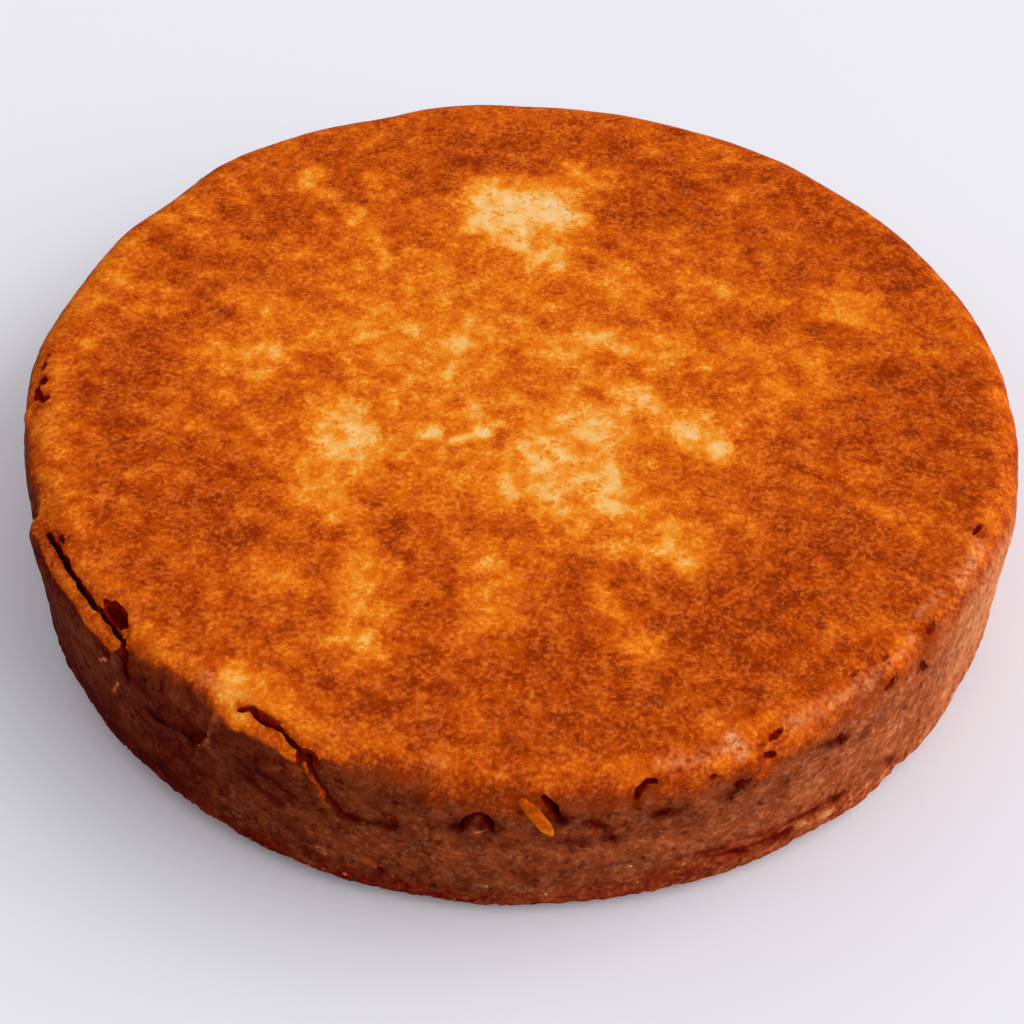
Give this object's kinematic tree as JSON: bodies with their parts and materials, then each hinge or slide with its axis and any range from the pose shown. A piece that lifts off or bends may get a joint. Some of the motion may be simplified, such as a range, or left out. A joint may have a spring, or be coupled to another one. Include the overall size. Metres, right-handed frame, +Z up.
{
  "type": "vanilla cake",
  "caption": "Round uncut vanilla cake with a flat mottled golden-brown top, rounded shoulder and browned upright side.",
  "frame": {"origin": "bottom centre of the bounding box, on the flat underside", "axes": "+Z up, the cake's front (the side nearest the camera) faces -Y, +X to its right"},
  "size_m": [0.2024, 0.2032, 0.0397],
  "materials": {
    "crust": "matte baked crust, golden to deep orange-brown on top and brown at the side"
  },
  "bodies": {
    "root": {"cake": "crust"}
  },
  "joints": []
}
